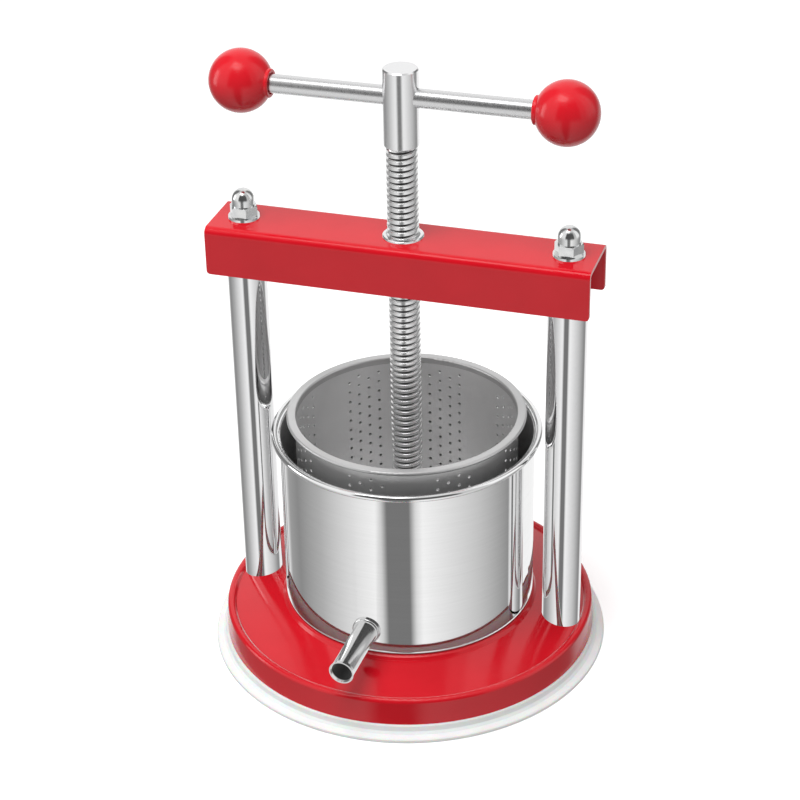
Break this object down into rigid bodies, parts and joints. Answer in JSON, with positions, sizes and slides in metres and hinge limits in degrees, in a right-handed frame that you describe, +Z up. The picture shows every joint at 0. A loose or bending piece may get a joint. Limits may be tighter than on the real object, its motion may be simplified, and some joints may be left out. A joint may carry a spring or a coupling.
{
  "type": "basket wine press",
  "caption": "Bench-top basket press: a screw with a T-handle drives a plate into a perforated basket that stands in a spouted pot.",
  "frame": {"origin": "on the floor under the screw's axis, at the centre of the foot ring", "axes": "+Z up along the screw, +X along the crossbar, -Y to the front where the spout leaves the pot"},
  "size_m": [0.266, 0.266, 0.4076],
  "materials": {
    "red_paint": "gloss powder coat",
    "silicone": "frosted translucent",
    "bright_tube": "polished",
    "bright_zinc": "bright zinc plate",
    "thread_steel": "rolled thread, bright",
    "turned_steel": "fine turned",
    "pot_mirror": "mirror polish",
    "basket_satin": "satin brushed",
    "plate_satin": "satin",
    "red_plastic": "moulded, gloss"
  },
  "bodies": {
    "frame": {"base_plate": "red_paint", "foot_ring": "silicone", "crossbar": "red_paint", "screw_nut": "turned_steel", "left_post": "bright_tube", "left_tie_rod": "bright_zinc", "left_cap_nut": "bright_zinc", "left_top_washer": "bright_zinc", "left_base_washer": "bright_zinc", "left_base_nut": "bright_zinc", "right_post": "bright_tube", "right_tie_rod": "bright_zinc", "right_cap_nut": "bright_zinc", "right_top_washer": "bright_zinc", "right_base_washer": "bright_zinc", "right_base_nut": "bright_zinc"},
    "plate": {"press_plate": "plate_satin", "plate_hub": "plate_satin"},
    "screw": {"press_screw": "thread_steel", "screw_head": "turned_steel", "retaining_bolt": "bright_zinc", "retaining_washer": "bright_zinc", "handle_bar": "bright_tube", "left_knob": "red_plastic", "right_knob": "red_plastic"},
    "pot": {"pot": "pot_mirror", "pot_floor": "pot_mirror", "spout": "pot_mirror", "spout_collar": "pot_mirror"},
    "basket": {"basket": "basket_satin", "basket_rim": "basket_satin", "basket_floor": "basket_satin"}
  },
  "joints": [
    {"name": "press_travel", "type": "slide", "parent": "frame", "child": "plate", "axis": [0, 0, 1], "range_m": [-0.016, 0.176]},
    {"name": "screw_turn", "type": "hinge", "parent": "plate", "child": "screw", "pos_m": [0, 0, 0.3], "axis": [0, 0, 1], "range_deg": [-1440, 15840]},
    {"name": "pot_turn", "type": "hinge", "parent": "frame", "child": "pot", "pos_m": [0, 0, 0.05], "axis": [0, 0, 1], "range_deg": [-65, 65]},
    {"name": "basket_turn", "type": "hinge", "parent": "pot", "child": "basket", "pos_m": [0, 0, 0.1], "axis": [0, 0, 1], "continuous": true}
  ],
  "couplings": [
    {"joint": "press_travel", "follows": "screw_turn", "m_per_rad": 0.00063662}
  ]
}
